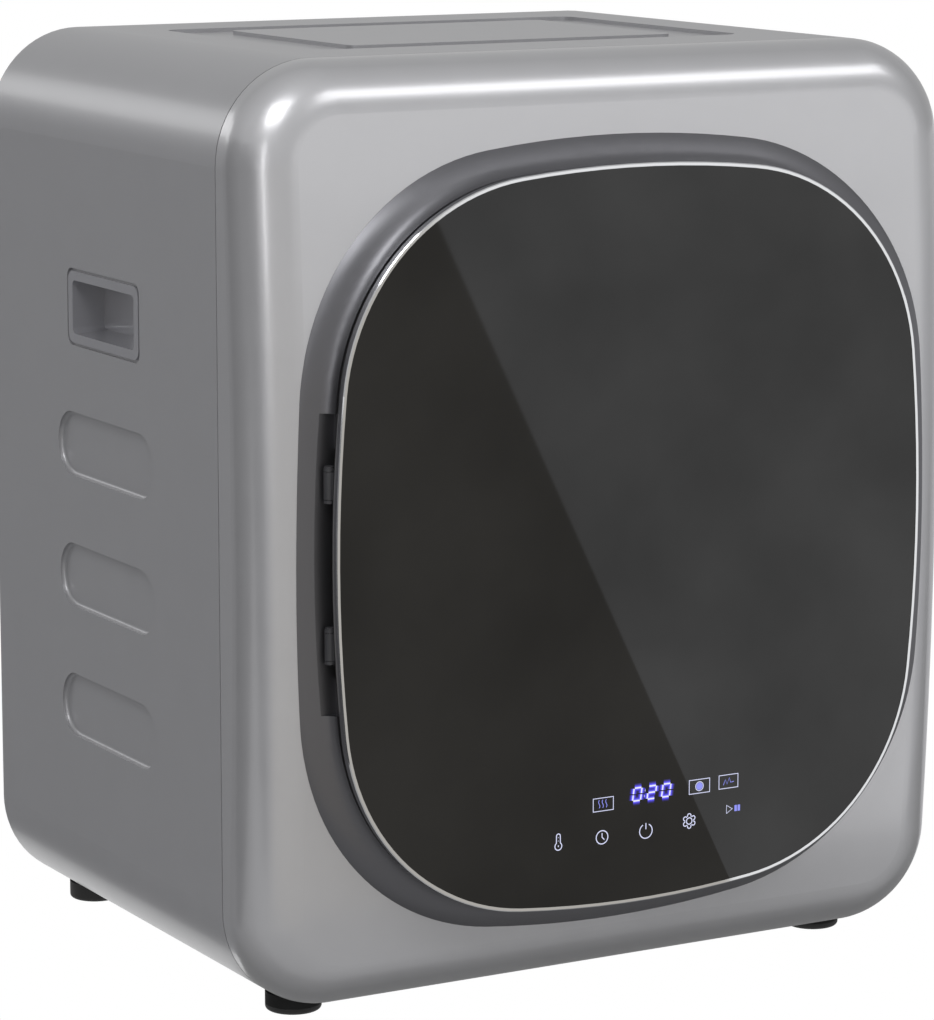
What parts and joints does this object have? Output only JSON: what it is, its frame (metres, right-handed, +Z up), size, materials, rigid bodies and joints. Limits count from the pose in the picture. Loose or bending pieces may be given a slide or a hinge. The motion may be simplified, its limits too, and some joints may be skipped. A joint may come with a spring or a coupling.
{
  "type": "vented tumble dryer",
  "caption": "Compact front-loading vented tumble dryer: rounded grey cabinet, large pillow-shaped black glass door in a chrome rim, side grips, rear exhaust.",
  "frame": {"origin": "on the floor below the middle of the machine's outline, door and outlet included", "axes": "+X to the machine's right seen from the front, +Y to the rear, +Z up; the door faces -Y"},
  "size_m": [0.515, 0.4518, 0.602],
  "materials": {
    "cabinet_grey": "smooth satin powder coat, mid silver grey",
    "front_grey": "smooth satin lacquer, light silver grey",
    "surround_grey": "smooth dark grey moulding",
    "black_glass": "black backed flat glass with a clean polish",
    "chrome": "bright chrome plating",
    "dark_plastic": "fine grained black moulding",
    "light_plastic": "light grey moulding",
    "galvanised": "plain zinc coated sheet",
    "stainless": "polished stainless sheet",
    "machined_steel": "turned steel",
    "rubber_black": "matt black rubber",
    "felt_grey": "pressed wool felt",
    "mesh_grey": "fine woven screen",
    "board_green": "printed circuit board",
    "heater_metal": "heat tinted heating strip",
    "motor_black": "black enamel",
    "capacitor_white": "plain white case"
  },
  "bodies": {
    "cabinet": {"cabinet_wrap": "cabinet_grey", "front_panel": "front_grey", "door_surround": "surround_grey", "rear_panel": "galvanised", "base_plate": "galvanised", "front_bulkhead": "galvanised", "rear_bulkhead": "galvanised", "handle_cup_left": "cabinet_grey", "handle_cup_right": "cabinet_grey", "foot_front_left": "rubber_black", "foot_front_right": "rubber_black", "foot_rear_left": "rubber_black", "foot_rear_right": "rubber_black", "drum_mouth": "light_plastic", "front_felt": "felt_grey", "door_gasket": "rubber_black", "bearing_housing": "galvanised", "drum_bearing": "machined_steel", "rear_felt": "felt_grey", "motor_body": "motor_black", "motor_bracket": "galvanised", "fan_housing": "light_plastic", "lint_duct": "light_plastic", "heater_housing": "galvanised", "heater_element": "heater_metal", "thermostats": "dark_plastic", "motor_capacitor": "capacitor_white", "control_box": "light_plastic", "control_board": "board_green", "exhaust_collar": "light_plastic", "cord_gland": "rubber_black", "rear_screws": "machined_steel", "hinge_brackets": "machined_steel", "hinge_pins": "machined_steel", "catch_magnet": "dark_plastic", "door_switch": "dark_plastic", "idler_spring": "machined_steel", "drum_belt": "rubber_black"},
    "door": {"door_glass": "black_glass", "door_trim": "chrome", "door_frame": "dark_plastic", "door_liner": "light_plastic", "display_board": "board_green", "hinge_arms": "machined_steel", "catch_plate": "machined_steel"},
    "drum": {"drum_shell": "stainless", "drum_back": "stainless", "drum_lifter_1": "light_plastic", "drum_lifter_2": "light_plastic", "drum_lifter_3": "light_plastic", "drum_shaft": "machined_steel", "shaft_clip": "machined_steel"},
    "rotor": {"motor_shaft": "machined_steel", "motor_pulley": "machined_steel", "fan_impeller": "light_plastic"},
    "idler_arm_body": {"idler_arm": "machined_steel"},
    "idler_wheel": {"idler_pulley": "dark_plastic"},
    "lint_filter": {"lint_filter_frame": "light_plastic", "lint_filter_mesh": "mesh_grey"},
    "switch_button": {"switch_plunger": "dark_plastic"}
  },
  "joints": [
    {"name": "door_hinge", "type": "hinge", "parent": "cabinet", "child": "door", "pos_m": [-0.212, -0.21345, 0.3], "axis": [0, 0, -1], "range_deg": [0, 105]},
    {"name": "drum_spin", "type": "hinge", "parent": "cabinet", "child": "drum", "pos_m": [0, 0.18865, 0.3], "axis": [0, 1, 0], "continuous": true},
    {"name": "motor_spin", "type": "hinge", "parent": "cabinet", "child": "rotor", "pos_m": [0.165, 0.18865, 0.08], "axis": [0, 1, 0], "continuous": true},
    {"name": "idler_arm_swing", "type": "hinge", "parent": "cabinet", "child": "idler_arm_body", "pos_m": [0.216, -0.02185, 0.096], "axis": [0, 1, 0], "range_deg": [0, 15], "stiffness_Nm_per_rad": 0.6, "springref_deg": -20.05},
    {"name": "idler_spin", "type": "hinge", "parent": "idler_arm_body", "child": "idler_wheel", "pos_m": [0.1905, -0.02185, 0.142], "axis": [0, 1, 0], "continuous": true},
    {"name": "filter_lift", "type": "slide", "parent": "cabinet", "child": "lint_filter", "axis": [0, 0, 1], "range_m": [0, 0.06]},
    {"name": "switch_press", "type": "slide", "parent": "cabinet", "child": "switch_button", "axis": [0, 1, 0], "range_m": [0, 0.003], "stiffness_N_per_m": 300, "springref_m": -0.001}
  ],
  "couplings": [
    {"joint": "motor_spin", "follows": "drum_spin", "ratio": 22.72},
    {"joint": "idler_spin", "follows": "drum_spin", "ratio": -15.887}
  ]
}
